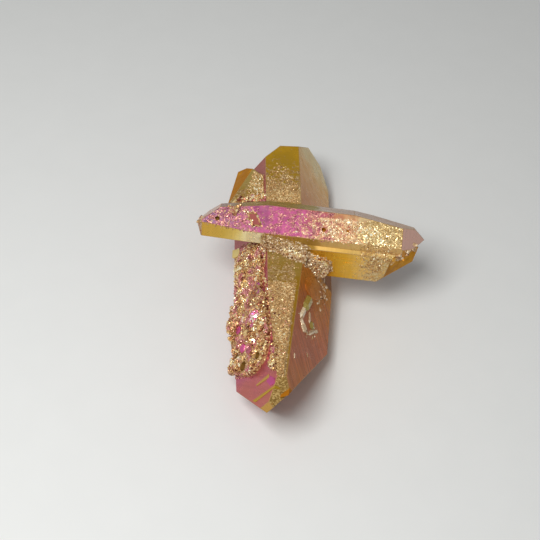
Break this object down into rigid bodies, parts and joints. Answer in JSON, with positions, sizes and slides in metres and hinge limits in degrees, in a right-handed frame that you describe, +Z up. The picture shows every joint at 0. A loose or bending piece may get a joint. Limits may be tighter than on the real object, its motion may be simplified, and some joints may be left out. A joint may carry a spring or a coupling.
{
  "type": "aura quartz cluster",
  "caption": "Metal-coated quartz cluster: a long six-sided crystal lying on one prism face, crossed by thinner crystals, with druse.",
  "frame": {"origin": "on the resting face, under the middle of the long crystal", "axes": "+Z up, +Y along the long crystal towards its larger end, +X towards the longer arm of the crossing crystal"},
  "size_m": [0.0349, 0.058, 0.0187],
  "materials": {
    "coated_quartz": "iridescent metal film"
  },
  "bodies": {
    "root": {"quartz_cluster": "coated_quartz"}
  },
  "joints": []
}
